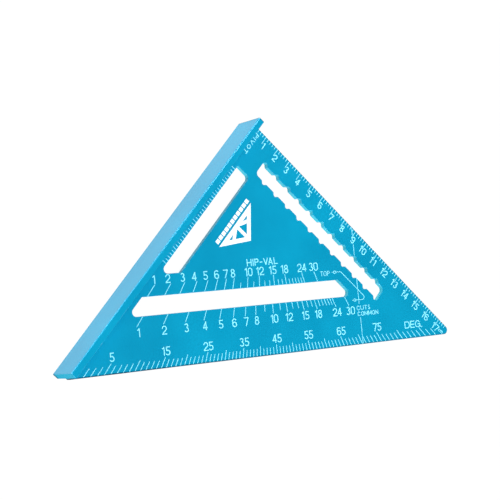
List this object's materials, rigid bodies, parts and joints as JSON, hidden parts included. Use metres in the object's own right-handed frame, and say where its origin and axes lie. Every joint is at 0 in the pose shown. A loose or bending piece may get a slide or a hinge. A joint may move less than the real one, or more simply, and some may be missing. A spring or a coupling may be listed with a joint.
{
  "type": "speed square",
  "caption": "Triangular rafter square with a T-shaped fence, ruler and degree edges, slotted blade with notched scribing slot and printed scales.",
  "frame": {"origin": "the pivot point: the corner where the ruler edge meets the fence's working face, at mid-thickness of the blade", "axes": "+X along the ruler edge away from the fence, the fence runs along -Y, +Z out of the front face"},
  "size_m": [0.1835, 0.1824, 0.0224],
  "materials": {
    "blue_anodised": "satin blue anodised",
    "white_ink": "matte printed"
  },
  "bodies": {
    "root": {"square_body": "blue_anodised", "front_ruler_ticks": "white_ink", "front_ruler_numerals": "white_ink", "front_degree_ticks": "white_ink", "front_degree_numerals": "white_ink", "front_common_ticks": "white_ink", "front_common_numerals": "white_ink", "front_hip_ticks": "white_ink", "front_hip_numerals": "white_ink", "front_fence_slot_ticks": "white_ink", "front_guide_line": "white_ink", "front_top_cut_leader": "white_ink", "front_scale_names": "white_ink", "front_roof_emblem": "white_ink", "rear_ruler_ticks": "white_ink", "rear_ruler_numerals": "white_ink", "rear_degree_ticks": "white_ink", "rear_degree_numerals": "white_ink", "rear_common_ticks": "white_ink", "rear_common_numerals": "white_ink", "rear_hip_ticks": "white_ink", "rear_hip_numerals": "white_ink", "rear_fence_slot_ticks": "white_ink", "rear_guide_line": "white_ink", "rear_top_cut_leader": "white_ink", "rear_scale_names": "white_ink"}
  },
  "joints": []
}
